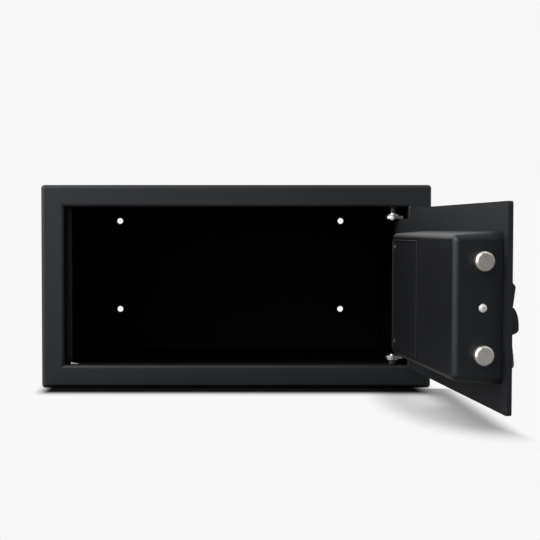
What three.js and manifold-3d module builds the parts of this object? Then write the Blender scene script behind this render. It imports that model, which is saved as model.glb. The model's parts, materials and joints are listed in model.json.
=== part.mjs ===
// Front opening steel safe with a swing door, two sliding bolts and a key pad.
// Millimetres, +Z up, the front faces -Y, origin at the middle of the base.
// Pieces of the door are placed as on the closed door, and one group turns them open.
import * as THREE from 'three';
import { mergeVertices } from 'three/addons/utils/BufferGeometryUtils.js';
import Module from 'manifold-3d';

const wasm = await Module();
wasm.setup();

// Shared clearances
const seatGap = 0.3;
const boreGap = 0.15;
const cutOver = 6;

// Case
const caseWidth = 420;
const caseHeight = 219;
const caseDepth = 370;
const caseSheet = 2;
const caseCorner = 3.5;
const frameSide = 25;
const frameTop = 24;
const frameBottom = 25;
const frameBend = 4;
const frameEdgeBend = 1.4;
const sillDepth = 20;
const latchReturnDepth = 11.7;
const anchorRadius = 4;
const anchorSideInset = 55;
const anchorTopInset = 36;
const anchorBottomInset = 59;
const guardSetback = 35;
const guardReach = 3.8;
const guardSheet = 1.5;
const stopWidth = 8;
const stopHeight = 2.4;
const stopThickness = 3.6;
const stopInset = 6;

// Door plate and hinge
const openAngle = 94.2;
const doorSheet = 4;
const doorGap = 1.8;
const latchGap = 2;
const hingeGap = 4;
const doorCorner = 2.5;
const notchLength = 63;
const notchTopHeight = 11;
const notchBottomHeight = 7.9;
const pinInset = 15;
const pinSetback = 9;
const pinRadius = 3.25;
const pinHeadRadius = 5.2;
const pinHeadThickness = 2;
const pinTipReach = 1.5;
const lugThickness = 3;
const lugRadius = 8.8;
const washerRadius = 7.4;
const washerThickness = 1.5;
const bushRadius = 4.6;

// Lock cover on the inside of the door
const coverMargin = 10;
const coverLength = 203;
const coverHeight = 115;
const coverDepth = 39.3;
const coverSheet = 1.5;
const coverBend = 4.5;
const coverCorner = 5.5;
const lidLength = 95;
const lidBorder = 5;
const lidSeam = 0.45;
const lidEndDrop = 17;
const lidScrewInset = 12.6;
const lidScrewSpacing = 89;
const lidScrewHeadRadius = 2.3;
const lidScrewHeadRise = 0.7;
const lidScrewRadius = 1.45;
const lidScrewLength = 11;
const endScrewRadius = 1.9;
const endScrewHeadRadius = 3.4;
const endScrewHeadRise = 1.9;

// Bolts and their carriage
const boltRadius = 8;
const boltChamfer = 1.4;
const boltSpacing = 73;
const boltSetback = 16.2;
const boltProud = 7.5;
const boltLength = 44;
const boltThrow = 20;
const spigotRadius = 4;
const barSheet = 3;
const barOverhang = 3.4;
const guideInset = 8.5;
const guideSheet = 3;
const guideFoot = 16;
const guideOverhang = 4;

// Rack, pinion and gear motor
const gearLayer = 3.2;
const pinionTurn = 180;
const pinionTeeth = 10;
const pinionBore = 1.6;
const pinionInset = 78;
const pinionDrop = 10;
const toothHeightShare = 0.55;
const toothThickShare = 0.36;
const toothTipShare = 0.2;
const rackDepth = 8;
const rackMargin = 6;
const gearboxWidth = 24;
const gearboxHeight = 30;
const gearboxDepth = 13;
const gearboxWall = 2.5;
const motorRadius = 10;
const motorLength = 12;

// Circuit board
const boardWidth = 46;
const boardHeight = 34;
const boardSheet = 1.6;
const boardLift = 8;
const boardInset = 56;
const boardRise = 30;
const boardPostRadius = 2.5;
const boardPostInset = 6;

// Battery tray and cells
const trayInset = 2.5;
const trayHeight = 104;
const trayLift = 17;
const trayWall = 3;
const cellRadius = 7.25;
const cellLength = 49.5;
const cellNubLength = 1;
const cellNubRadius = 2.6;
const cellPitch = 15;
const cellCount = 4;
const cellPlay = 3.2;
const contactSheet = 0.5;
const contactBump = 2.2;
const contactBumpRadius = 3;
const trayEnd = 19;

// Key pad housing on the outside of the door
const housingInset = 28;
const housingWidth = 122;
const housingHeight = 84;
const housingDrop = 16;
const housingDepth = 9;
const housingSkin = 2.8;
const housingCorner = 7;
const housingBevel = 1.6;
const columnInset = 3;
const columnWidth = 45;
const keyColumns = 3;
const keyRows = 4;
const keyPitchX = 19.5;
const keyWidth = 15;
const keyHeight = 11.4;
const keyCorner = 2;
const keyPlay = 0.35;
const keyFlange = 0.9;
const keyFlangeSheet = 0.8;
const keyTravel = 1;
const keyProud = 1;
const keyFieldInset = 86;
const keyFieldMargin = 8;
const keyBoardSheet = 1.2;
const keyHollowMargin = 5;
const keyBoardPlay = 0.5;

// Display hood, finger pull and key flap, one above the other
const hoodInset = 7.2;
const hoodRise = 4.3;
const windowInset = 4;
const windowMargin = 3.4;
const windowSheet = 1.2;
const pullGap = 0.4;
const pullRise = 6.9;
const pullSkin = 1.9;
const scoopDepth = 6.6;
const scoopInset = 3.5;
const flapGap = 1.9;
const flapInset = 7.5;
const flapRise = 3.2;
const knuckleRadius = 1.5;
const knuckleSink = 0.4;
const knuckleInset = 2.6;
const knucklePlay = 0.6;
const flapPinRadius = 0.75;
const flapPinReach = 2;

// Override lock behind the flap
const barrelInset = 34;
const barrelDrop = 11.6;
const barrelRadius = 7;
const barrelHeadRadius = 8.6;
const barrelHeadSheet = 1.6;
const barrelBack = 15;
const plugRadius = 4.5;
const plugTail = 4.4;
const tailRadius = 2.4;
const keywayWidth = 1.6;
const keywayHeight = 6.4;
const keywayDepth = 9;
const camLength = 12;
const camWidth = 7;
const camSheet = 1.6;
const camCorner = 3.3;
const cableHoleRadius = 5;
const cableHoleInset = 113;
const cableHoleRise = 30;

// Counts for round surfaces
const roundSides = 24;
const fineSides = 32;
const bendSteps = 4;
const cornerSteps = 2;

// The column's height is shared by the hood, the pull and the flap
const hoodTallShare = 0.2925;
const pullTallShare = 0.3254;

// Outlines as shares: across from the lower end, out from the base
const hoodShares = [[0, 0], [1, 0], [1, 0.4], [0.83, 1], [0, 0.5]];
const pullShares = [
  [0, 0], [1, 0], [1, 0.34], [0.945, 0.5], [0.86, 0.66], [0.72, 0.83],
  [0.58, 0.93], [0.42, 0.98], [0.17, 1], [0.07, 0.78], [0, 0.3],
];
const flapShares = [[0, 0], [1, 0], [1, 0.3], [0.76, 0.5], [0.45, 0.8], [0.16, 1], [0.07, 0.9], [0, 0.4]];

// Screw heads as shares: across from the axis, and up from the seat
const lidHeadShares = [[1, 0], [0.8, 0.7], [0, 1]];
const endHeadShares = [[0, 1], [0.55, 0.9], [0.9, 0.5], [1, 0]];
const gearboxFootShare = 1 / 3;

// Places worked out from the sizes above
const frontY = -caseDepth / 2;
const backY = caseDepth / 2;
const wallX = caseWidth / 2 - caseSheet;
const openLeft = -caseWidth / 2 + frameSide;
const openRight = caseWidth / 2 - frameSide;
const openBottom = frameBottom;
const openTop = caseHeight - frameTop;
const pinX = openRight - pinInset;
const pinY = frontY + pinSetback;
const plateLeft = openLeft + latchGap;
const plateRight = openRight - hingeGap;
const plateBottom = openBottom + doorGap;
const plateTop = openTop - doorGap;
const plateMiddle = (plateBottom + plateTop) / 2;
const innerY = frontY + doorSheet;
const notchX = plateRight - notchLength;
const lugTopZ = plateTop - notchTopHeight + seatGap;
const lugBottomZ = plateBottom + notchBottomHeight - seatGap - lugThickness;
const coverLeft = plateLeft + coverMargin;
const coverRight = coverLeft + coverLength;
const coverBack = innerY + seatGap;
const coverFront = coverBack + coverDepth;
const lidLeft = coverRight - lidLength;
const boltY = innerY + boltSetback;
const boltZs = [plateMiddle - boltSpacing / 2, plateMiddle + boltSpacing / 2];
const boltTip = coverLeft - boltProud;
const boltRear = boltTip + boltLength;
const gearBack = innerY + seatGap + gearLayer;
const pitchRadius = boltThrow / THREE.MathUtils.degToRad(pinionTurn);
const toothPitch = 2 * Math.PI * pitchRadius / pinionTeeth;
const pinionX = coverLeft + pinionInset;
const pinionZ = plateMiddle - pinionDrop;
const outerY = frontY - seatGap;
const housingLeft = plateLeft + housingInset;
const housingRight = housingLeft + housingWidth;
const housingZ = plateMiddle - housingDrop;
const faceY = frontY - housingDepth;
const columnLeft = housingLeft + columnInset;
const columnRight = columnLeft + columnWidth;
const columnBase = faceY - seatGap;
const barrelX = housingLeft + barrelInset;
const columnTall = housingHeight - hoodInset - pullGap - flapGap - flapInset;
const hoodTall = columnTall * hoodTallShare;
const pullTall = columnTall * pullTallShare;
const flapTall = columnTall - hoodTall - pullTall;
const hoodLow = housingZ + housingHeight / 2 - hoodInset - hoodTall;
const pullLow = hoodLow - pullGap - pullTall;
const flapLow = pullLow - flapGap - flapTall;
const flapPinZ = flapLow + flapTall - knuckleRadius;
const flapPinY = faceY + knuckleSink;
const barrelZ = flapPinZ - barrelDrop;
const keyPitchZ = (housingHeight - 2 * keyFieldMargin) / keyRows;

// Finishes
const finish = (color, roughness, metalness) => new THREE.MeshStandardMaterial(
  { color, roughness, metalness });
const blackPaint = finish(0x202124, 0.5, 0.1);
const zincSteel = finish(0xb9bab8, 0.32, 1);
const boltSteel = finish(0xa8a39b, 0.28, 1);
const blackPlastic = finish(0x17181a, 0.45, 0);
const keyRubber = finish(0x2c2d30, 0.6, 0);
const tintedPane = finish(0x0c1013, 0.1, 0);
const bronzePaint = finish(0x6b5a4c, 0.35, 0.8);
const greenBoard = finish(0x1d4a34, 0.5, 0);
const cellWrap = finish(0x3a3f46, 0.35, 0.3);
const brassMetal = finish(0xa58a4e, 0.35, 1);

// Solid helpers
function solidOf(geometry) {
  const bare = geometry.clone();
  bare.deleteAttribute('normal');
  bare.deleteAttribute('uv');
  const merged = mergeVertices(bare);
  const vertProperties = Float32Array.from(merged.attributes.position.array);
  const triVerts = Uint32Array.from(merged.index.array);
  return new wasm.Manifold(new wasm.Mesh({ numProp: 3, vertProperties, triVerts }));
}

function named(name, solid, material) {
  const data = solid.getMesh();
  const geometry = new THREE.BufferGeometry();
  geometry.setAttribute('position', new THREE.BufferAttribute(new Float32Array(data.vertProperties), 3));
  geometry.setIndex(new THREE.BufferAttribute(new Uint32Array(data.triVerts), 1));
  geometry.computeVertexNormals();
  const mesh = new THREE.Mesh(geometry, material);
  mesh.name = name;
  return mesh;
}

function joined(solids) {
  return solids.reduce((whole, next) => whole.add(next));
}

function cutBy(solid, tools) {
  return tools.reduce((whole, tool) => whole.subtract(tool), solid);
}

function block(x0, x1, y0, y1, z0, z1) {
  const geometry = new THREE.BoxGeometry(x1 - x0, y1 - y0, z1 - z0);
  geometry.translate((x0 + x1) / 2, (y0 + y1) / 2, (z0 + z1) / 2);
  return solidOf(geometry);
}

// A turned piece: the profile is a list of radius and place along the axis
function turned(axis, profile, first, second, sides = roundSides) {
  const points = profile.map(([radius, along]) => new THREE.Vector2(radius, along));
  const geometry = new THREE.LatheGeometry(points, sides);
  if (axis === 'x') geometry.rotateZ(-Math.PI / 2).translate(0, first, second);
  if (axis === 'y') geometry.translate(first, 0, second);
  if (axis === 'z') geometry.rotateX(Math.PI / 2).translate(first, second, 0);
  return solidOf(geometry);
}

function rod(axis, radius, from, to, first, second, sides = roundSides) {
  return turned(axis, [[0, from], [radius, from], [radius, to], [0, to]], first, second, sides);
}

// A plate drawn in X and Z, from y0 to y1
function plate(shape, y0, y1) {
  const options = { depth: y1 - y0, bevelEnabled: false, curveSegments: cornerSteps };
  const geometry = new THREE.ExtrudeGeometry(shape, options);
  geometry.rotateX(Math.PI / 2).translate(0, y1, 0);
  return solidOf(geometry);
}

function roundedShape(x0, x1, z0, z1, radius) {
  const shape = new THREE.Shape();
  shape.moveTo(x0 + radius, z0);
  shape.lineTo(x1 - radius, z0);
  shape.absarc(x1 - radius, z0 + radius, radius, -Math.PI / 2, 0);
  shape.lineTo(x1, z1 - radius);
  shape.absarc(x1 - radius, z1 - radius, radius, 0, Math.PI / 2);
  shape.lineTo(x0 + radius, z1);
  shape.absarc(x0 + radius, z1 - radius, radius, Math.PI / 2, Math.PI);
  shape.lineTo(x0, z0 + radius);
  shape.absarc(x0 + radius, z0 + radius, radius, Math.PI, 1.5 * Math.PI);
  return shape;
}

// A block with rounded corners and bent edges at its y1 end, or at y0 when side is -1
function bentBlock(x0, x1, z0, z1, y0, y1, corner, bend, side) {
  const low = side > 0 ? y0 - cutOver - bend : y0 + bend;
  const high = side > 0 ? y1 - bend : y1 + cutOver + bend;
  const shape = roundedShape(x0, x1, z0, z1, corner);
  const options = {
    depth: high - low, bevelEnabled: true, bevelThickness: bend, bevelSize: bend, bevelOffset: -bend,
    bevelSegments: bendSteps, curveSegments: cornerSteps,
  };
  const geometry = new THREE.ExtrudeGeometry(shape, options);
  geometry.rotateX(Math.PI / 2).translate(0, high, 0);
  return solidOf(geometry).intersect(block(x0 - cutOver, x1 + cutOver, y0, y1, z0 - cutOver, z1 + cutOver));
}

// A prism along X whose outline is given in Z and out from the door
function ledge(points, x0, x1) {
  const shape = new THREE.Shape(points.map(([z, out]) => new THREE.Vector2(out, z)));
  const geometry = new THREE.ExtrudeGeometry(shape, { depth: x1 - x0, bevelEnabled: false });
  geometry.applyMatrix4(new THREE.Matrix4().makeBasis(
    new THREE.Vector3(0, -1, 0), new THREE.Vector3(0, 0, 1), new THREE.Vector3(-1, 0, 0)));
  geometry.translate(x1, 0, 0);
  return solidOf(geometry);
}

function outlineOf(shares, lowZ, tall, rise) {
  return shares.map(([across, out]) => [lowZ + across * tall, -columnBase + out * rise]);
}

// Case pieces
function caseWrap() {
  const shape = roundedShape(-caseWidth / 2, caseWidth / 2, 0, caseHeight, caseCorner);
  const inner = caseCorner - caseSheet;
  shape.holes.push(roundedShape(-wallX, wallX, caseSheet, caseHeight - caseSheet, inner));
  return named('case_wrap', plate(shape, frontY + caseSheet, backY), blackPaint);
}

function backPanel() {
  const inner = caseCorner - caseSheet;
  const shape = roundedShape(-wallX, wallX, caseSheet, caseHeight - caseSheet, inner);
  const panel = plate(shape, backY - caseSheet, backY);
  const holes = [];
  const anchorX = caseWidth / 2 - anchorSideInset;
  for (const x of [-anchorX, anchorX]) {
    for (const z of [anchorBottomInset, caseHeight - anchorTopInset]) {
      holes.push(rod('y', anchorRadius, backY - caseSheet - cutOver, backY + cutOver, x, z));
    }
  }
  return named('back_panel', cutBy(panel, holes), blackPaint);
}

// The sheet's section at the opening: out from the opening's edge, and back from the front
function frameSection(reach) {
  const section = [[reach, 0], [reach, caseSheet]];
  for (let step = 0; step <= bendSteps; step += 1) {
    const turn = step / bendSteps * Math.PI / 2;
    const radius = frameBend - caseSheet;
    section.push([frameBend - radius * Math.sin(turn), frameBend - radius * Math.cos(turn)]);
  }
  section.push([caseSheet, sillDepth], [0, sillDepth]);
  for (let step = 0; step <= bendSteps; step += 1) {
    const turn = step / bendSteps * Math.PI / 2;
    section.push([frameBend - frameBend * Math.cos(turn), frameBend - frameBend * Math.sin(turn)]);
  }
  return section;
}

function sweptFrame(section) {
  const corners = [[openLeft, openBottom, -1, -1], [openRight, openBottom, 1, -1],
    [openRight, openTop, 1, 1], [openLeft, openTop, -1, 1]];
  const positions = [];
  const triangles = [];
  for (const [x, z, sideX, sideZ] of corners) {
    for (const [out, back] of section) positions.push(x + sideX * out, frontY + back, z + sideZ * out);
  }
  const count = section.length;
  for (let corner = 0; corner < corners.length; corner += 1) {
    const next = (corner + 1) % corners.length;
    for (let point = 0; point < count; point += 1) {
      const after = (point + 1) % count;
      const a = corner * count + point;
      const b = next * count + point;
      const c = next * count + after;
      const d = corner * count + after;
      triangles.push(a, b, c, a, c, d);
    }
  }
  const geometry = new THREE.BufferGeometry();
  geometry.setAttribute('position', new THREE.Float32BufferAttribute(positions, 3));
  geometry.setIndex(triangles);
  const solid = solidOf(geometry);
  if (solid.volume() > 0) return solid;
  geometry.setIndex(triangles.reverse());
  return solidOf(geometry);
}

function frontFrame() {
  const reach = Math.max(frameSide, frameTop, frameBottom) + cutOver;
  const outer = bentBlock(
    -caseWidth / 2, caseWidth / 2, 0, caseHeight, frontY, frontY + sillDepth, caseCorner, frameEdgeBend, -1);
  const latchCut = block(
    openLeft - frameSide, openLeft + cutOver, frontY + latchReturnDepth, frontY + sillDepth + cutOver,
    openBottom, openTop);
  const pinHole = rod('z', pinRadius + boreGap, openBottom - frameBottom, openTop + frameTop, pinX, pinY);
  const frame = cutBy(sweptFrame(frameSection(reach)).intersect(outer), [latchCut, pinHole]);
  return named('front_frame', frame, blackPaint);
}

function latchGuard() {
  const y = frontY + guardSetback;
  const guard = block(-wallX, openLeft + guardReach, y, y + guardSheet, caseCorner, caseHeight - caseCorner);
  return named('latch_guard', guard, blackPaint);
}

function doorStop() {
  const x = openLeft + stopInset;
  const y = innerY + seatGap;
  const stop = block(x, x + stopWidth, y, y + stopThickness, openBottom, openBottom + stopHeight);
  return named('door_stop', stop, zincSteel);
}

// A hinge pin with its head beyond the frame's return and its tip through the lug
function hingePin(name, headZ, tipZ, up) {
  const head = headZ + up * pinHeadThickness;
  const parts = [
    rod('z', pinRadius, Math.min(headZ, tipZ), Math.max(headZ, tipZ), pinX, pinY),
    rod('z', pinHeadRadius, Math.min(headZ, head), Math.max(headZ, head), pinX, pinY),
  ];
  return named(name, joined(parts), zincSteel);
}

function ring(name, radius, z0, z1) {
  const hole = rod('z', pinRadius + boreGap, z0 - cutOver, z1 + cutOver, pinX, pinY);
  return named(name, rod('z', radius, z0, z1, pinX, pinY).subtract(hole), zincSteel);
}

// Door pieces
function doorPlate() {
  const shape = new THREE.Shape();
  const arc = doorCorner;
  shape.moveTo(plateLeft + arc, plateBottom);
  shape.lineTo(notchX, plateBottom);
  shape.lineTo(notchX, plateBottom + notchBottomHeight);
  shape.lineTo(plateRight, plateBottom + notchBottomHeight);
  shape.lineTo(plateRight, plateTop - notchTopHeight);
  shape.lineTo(notchX, plateTop - notchTopHeight);
  shape.lineTo(notchX, plateTop);
  shape.lineTo(plateLeft + arc, plateTop);
  shape.absarc(plateLeft + arc, plateTop - arc, arc, Math.PI / 2, Math.PI);
  shape.lineTo(plateLeft, plateBottom + arc);
  shape.absarc(plateLeft + arc, plateBottom + arc, arc, Math.PI, 1.5 * Math.PI);
  const holes = [
    rod('y', barrelRadius + seatGap, frontY - cutOver, innerY + cutOver, barrelX, barrelZ),
    rod('y', cableHoleRadius, frontY - cutOver, innerY + cutOver, plateLeft + cableHoleInset,
      housingZ + cableHoleRise),
  ];
  return named('door_plate', cutBy(plate(shape, frontY, innerY), holes), blackPaint);
}

function hingeLug(name, z) {
  const top = z + lugThickness;
  const tongue = block(pinX - lugRadius, pinX + lugRadius, frontY, pinY, z, top);
  const body = tongue.add(rod('z', lugRadius, z, top, pinX, pinY, fineSides));
  const hole = rod('z', pinRadius + boreGap + boreGap, z - cutOver, top + cutOver, pinX, pinY);
  return named(name, body.subtract(hole), zincSteel);
}

// The bent sheet that both the cover and its lid are cut from
function coverShell() {
  const z0 = plateMiddle - coverHeight / 2;
  const z1 = plateMiddle + coverHeight / 2;
  const t = coverSheet;
  const outer = bentBlock(coverLeft, coverRight, z0, z1, coverBack, coverFront, coverCorner, coverBend, 1);
  const inner = bentBlock(
    coverLeft + t, coverRight - t, z0 + t, z1 - t, coverBack - cutOver, coverFront - t,
    coverCorner - t, coverBend - t, 1);
  return outer.subtract(inner);
}

function lidBox(gap) {
  const half = coverHeight / 2 - lidBorder - gap;
  return block(
    lidLeft + gap, coverRight + cutOver, coverFront - lidEndDrop + gap, coverFront + cutOver,
    plateMiddle - half, plateMiddle + half);
}

function lidScrewPlaces() {
  const x = coverRight - lidScrewInset;
  return [[x, plateMiddle - lidScrewSpacing / 2], [x, plateMiddle + lidScrewSpacing / 2]];
}

function lockCover() {
  const tools = [lidBox(0)];
  const x0 = coverLeft - cutOver;
  const x1 = coverLeft + cutOver;
  for (const z of boltZs) tools.push(rod('x', boltRadius + seatGap, x0, x1, boltY, z, fineSides));
  tools.push(rod('x', endScrewRadius + boreGap, x0, x1, boltY, plateMiddle));
  return named('lock_cover', cutBy(coverShell(), tools), blackPaint);
}

function batteryCover() {
  const holes = lidScrewPlaces().map(
    ([x, z]) => rod('y', lidScrewRadius + boreGap, coverFront - lidEndDrop, coverFront + cutOver, x, z));
  return named('battery_cover', cutBy(coverShell().intersect(lidBox(lidSeam)), holes), blackPaint);
}

function lidScrew(name, x, z) {
  const seat = coverFront + seatGap / 2;
  const head = lidHeadShares.map(
    ([across, rise]) => [across * lidScrewHeadRadius, seat + rise * lidScrewHeadRise]);
  const low = seat - lidScrewLength;
  const profile = [[0, low], [lidScrewRadius, low], [lidScrewRadius, seat], ...head];
  return named(name, turned('y', profile, x, z), zincSteel);
}

function endScrew() {
  const seat = coverLeft - seatGap;
  const tip = coverLeft + guideInset + guideSheet + endScrewRadius;
  const head = endHeadShares.map(
    ([across, rise]) => [across * endScrewHeadRadius, seat - rise * endScrewHeadRise]);
  const profile = [...head, [endScrewRadius, seat], [endScrewRadius, tip], [0, tip]];
  return named('cover_end_screw', turned('x', profile, boltY, plateMiddle), zincSteel);
}

function boltGuide() {
  const x0 = coverLeft + guideInset;
  const x1 = x0 + guideSheet;
  const half = boltSpacing / 2 + boltRadius + guideOverhang;
  const top = plateMiddle + half;
  const base = plateMiddle - half;
  const webBack = boltY + boltRadius + guideOverhang;
  const footX = x1 + guideFoot;
  const y = innerY + seatGap;
  const parts = [
    block(x0, x1, gearBack + seatGap, webBack, base, top),
    block(x0, x1, y, gearBack + seatGap, base, base + guideFoot),
    block(x0, x1, y, gearBack + seatGap, top - guideFoot, top),
    block(x0, footX, y, y + guideSheet, base, base + guideFoot),
    block(x0, footX, y, y + guideSheet, top - guideFoot, top),
  ];
  const from = x0 - cutOver;
  const to = x1 + cutOver;
  const holes = boltZs.map((z) => rod('x', boltRadius + seatGap, from, to, boltY, z, fineSides));
  holes.push(rod('x', endScrewRadius + boreGap, from, to, boltY, plateMiddle));
  return named('bolt_guide', cutBy(joined(parts), holes), zincSteel);
}

function circuitBoard() {
  const x = coverLeft + boardInset;
  const y = innerY + boardLift;
  const z = plateMiddle + boardRise;
  const half = boardHeight / 2;
  return named('circuit_board', block(x, x + boardWidth, y, y + boardSheet, z - half, z + half), greenBoard);
}

function boardPosts() {
  const x = coverLeft + boardInset;
  const z = plateMiddle + boardRise;
  const places = [
    ['board_post_left', x + boardPostInset],
    ['board_post_right', x + boardWidth - boardPostInset],
  ];
  return places.map(([name, at]) => named(
    name, rod('y', boardPostRadius, innerY + seatGap, innerY + boardLift - seatGap, at, z), brassMetal));
}

function gearMotor() {
  const x0 = pinionX - gearboxWidth / 2;
  const x1 = pinionX + gearboxWidth / 2;
  const z1 = pinionZ + pitchRadius;
  const z0 = z1 - gearboxHeight;
  const y0 = gearBack + seatGap;
  const y1 = y0 + gearboxDepth;
  const foot = innerY + seatGap;
  const footTop = z0 + gearboxHeight * gearboxFootShare;
  const gearbox = joined([
    block(x0, x1, y0, y1, z0, z1),
    block(x0, x0 + gearboxWall, foot, y0, z0, footTop),
    block(x1 - gearboxWall, x1, foot, y0, z0, footTop),
  ]);
  const shaft = rod('y', pinionBore - boreGap, foot, y0 + boreGap, pinionX, pinionZ);
  const canY = y1 + seatGap;
  const can = rod('y', motorRadius, canY, canY + motorLength, pinionX, (z0 + z1) / 2, fineSides);
  return [named('gearbox', gearbox.add(shaft), blackPlastic), named('motor', can, zincSteel)];
}

function batteryTray() {
  const x0 = lidLeft + trayInset;
  const x1 = coverRight - coverSheet - trayInset;
  const y0 = innerY + seatGap;
  const floorY = y0 + trayLift + trayWall;
  const topY = coverFront - coverSheet - trayInset;
  const half = trayHeight / 2;
  const bay = cellCount * cellPitch / 2;
  const bayRight = x1 - trayEnd;
  const bayLeft = bayRight - cellLength - cellNubLength - 2 * cellPlay;
  const tools = [
    block(bayLeft, bayRight, floorY, topY + cutOver, plateMiddle - bay, plateMiddle + bay),
    block(x0 + trayWall, x1 - trayWall, y0 - cutOver, y0 + trayLift,
      plateMiddle - half + trayWall, plateMiddle + half - trayWall),
  ];
  for (const [x, z] of lidScrewPlaces()) {
    tools.push(rod('y', lidScrewRadius + boreGap, topY - lidScrewLength, topY + cutOver, x, z));
  }
  const tray = block(x0, x1, y0, topY, plateMiddle - half, plateMiddle + half);
  return { mesh: named('battery_tray', cutBy(tray, tools), blackPlastic), bayLeft, bayRight, floorY };
}

function cellZ(index) {
  return plateMiddle + (index - (cellCount - 1) / 2) * cellPitch;
}

function batteries(tray) {
  const meshes = [];
  const y = tray.floorY + seatGap + cellRadius;
  const flat = tray.bayLeft + cellPlay;
  const nub = flat + cellLength;
  for (let index = 0; index < cellCount; index += 1) {
    const profile = [[0, flat], [cellRadius, flat], [cellRadius, nub], [cellNubRadius, nub],
      [cellNubRadius, nub + cellNubLength], [0, nub + cellNubLength]];
    meshes.push(named(`battery_cell_${index + 1}`, turned('x', profile, y, cellZ(index)), cellWrap));
  }
  const strips = [['contact_left', tray.bayLeft, 1], ['contact_right', tray.bayRight, -1]];
  for (const [name, wall, side] of strips) {
    const back = wall + side * seatGap;
    const front = back + side * contactSheet;
    const tip = front + side * contactBump;
    const half = (cellCount - 1) / 2 * cellPitch + contactBumpRadius;
    const strip = block(
      Math.min(back, front), Math.max(back, front), y - contactBumpRadius, y + contactBumpRadius,
      plateMiddle - half, plateMiddle + half);
    const bumps = [];
    for (let index = 0; index < cellCount; index += 1) {
      const profile = [[0, back], [contactBumpRadius, back], [contactBumpRadius / 2, tip], [0, tip]];
      const ordered = side > 0 ? profile : profile.slice().reverse();
      bumps.push(turned('x', ordered, y, cellZ(index), roundSides / 2));
    }
    meshes.push(named(name, joined([strip, ...bumps]), brassMetal));
  }
  return meshes;
}

// Bolt carriage
function rackOutline() {
  const pitchZ = pinionZ + pitchRadius;
  const height = toothPitch * toothHeightShare;
  const root = pitchZ + height / 2;
  const tip = pitchZ - height / 2;
  const x0 = boltRear;
  const x1 = pinionX + boltThrow + rackMargin;
  const shape = new THREE.Shape();
  shape.moveTo(x0, root + rackDepth);
  shape.lineTo(x0, root);
  const count = Math.floor((boltThrow + rackMargin) / toothPitch);
  for (let index = -1; index <= count; index += 1) {
    const centre = pinionX + index * toothPitch;
    const wide = toothPitch * (toothThickShare + toothTipShare) / 2;
    const narrow = toothPitch * toothTipShare / 2;
    if (centre + wide < x1) {
      shape.lineTo(centre - wide, root);
      shape.lineTo(centre - narrow, tip);
      shape.lineTo(centre + narrow, tip);
      shape.lineTo(centre + wide, root);
    }
  }
  shape.lineTo(x1, root);
  shape.lineTo(x1, root + rackDepth);
  return { shape, root };
}

function boltCarriage() {
  const { shape, root } = rackOutline();
  const x0 = boltRear + seatGap;
  const x1 = x0 + barSheet;
  const half = boltSpacing / 2 + boltRadius + barOverhang;
  const layer = innerY + seatGap;
  const back = boltY + boltRadius;
  const bar = block(x0, x1, gearBack, back, plateMiddle - half, plateMiddle + half);
  const bridge = block(x0, x1, layer, gearBack, root, root + rackDepth);
  const holes = boltZs.map((z) => rod('x', spigotRadius + boreGap, x0 - cutOver, x1 + cutOver, boltY, z));
  const body = joined([plate(shape, layer, gearBack), bar, bridge]);
  return named('bolt_carriage', cutBy(body, holes), zincSteel);
}

function bolt(name, z) {
  const tail = boltRear + seatGap + barSheet;
  const profile = [[0, boltTip], [boltRadius - boltChamfer, boltTip], [boltRadius, boltTip + boltChamfer],
    [boltRadius, boltRear], [spigotRadius, boltRear], [spigotRadius, tail], [0, tail]];
  return named(name, turned('x', profile, boltY, z, fineSides), boltSteel);
}

// The pinion: at rest a gap between two teeth faces the rack's middle tooth
function drivePinion() {
  const height = toothPitch * toothHeightShare;
  const rootRadius = pitchRadius - height / 2;
  const tipRadius = pitchRadius + height / 2;
  const shape = new THREE.Shape();
  const step = 2 * Math.PI / pinionTeeth;
  const wide = step * (toothThickShare + toothTipShare) / 2;
  const narrow = step * toothTipShare / 2;
  const points = [];
  for (let index = 0; index < pinionTeeth; index += 1) {
    const middle = Math.PI / 2 + (index + 0.5) * step;
    points.push([rootRadius, middle - wide], [tipRadius, middle - narrow]);
    points.push([tipRadius, middle + narrow], [rootRadius, middle + wide]);
  }
  points.forEach(([radius, angle], index) => {
    const x = pinionX + radius * Math.cos(angle);
    const z = pinionZ + radius * Math.sin(angle);
    if (index === 0) shape.moveTo(x, z);
    else shape.lineTo(x, z);
  });
  const wheel = plate(shape, innerY + seatGap, gearBack);
  const bore = rod('y', pinionBore, innerY - cutOver, gearBack + cutOver, pinionX, pinionZ);
  return named('drive_pinion', wheel.subtract(bore), brassMetal);
}

// Key pad
function keyPlaces() {
  const places = [];
  for (let row = 0; row < keyRows; row += 1) {
    for (let column = 0; column < keyColumns; column += 1) {
      const x = housingLeft + keyFieldInset + (column - (keyColumns - 1) / 2) * keyPitchX;
      const z = housingZ + ((keyRows - 1) / 2 - row) * keyPitchZ;
      places.push([x, z]);
    }
  }
  return places;
}

function keyField(margin) {
  const halfX = keyColumns * keyPitchX / 2 + margin;
  const halfZ = keyRows * keyPitchZ / 2 + margin - keyHollowMargin / 2;
  const x = housingLeft + keyFieldInset;
  return [x - halfX, x + halfX, housingZ - halfZ, housingZ + halfZ];
}

function keyPrism(x, z, grow, y0, y1) {
  const halfX = keyWidth / 2 + grow;
  const halfZ = keyHeight / 2 + grow;
  return plate(roundedShape(x - halfX, x + halfX, z - halfZ, z + halfZ, keyCorner + grow), y0, y1);
}

function windowPlace(gap) {
  const left = columnLeft + windowInset + gap;
  const right = columnRight - windowInset - gap;
  const z0 = hoodLow + windowMargin + gap;
  const z1 = hoodLow + hoodTall * hoodShares[3][0] - windowMargin / 2 - gap;
  return { z0, z1, left, right };
}

// The hood's sloping face at a height z
function hoodFace(z) {
  const [tipAcross, tipOut] = hoodShares[3];
  const [, lowOut] = hoodShares[4];
  const share = (z - hoodLow) / (tipAcross * hoodTall);
  return -columnBase + (lowOut + (tipOut - lowOut) * share) * hoodRise;
}

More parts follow.
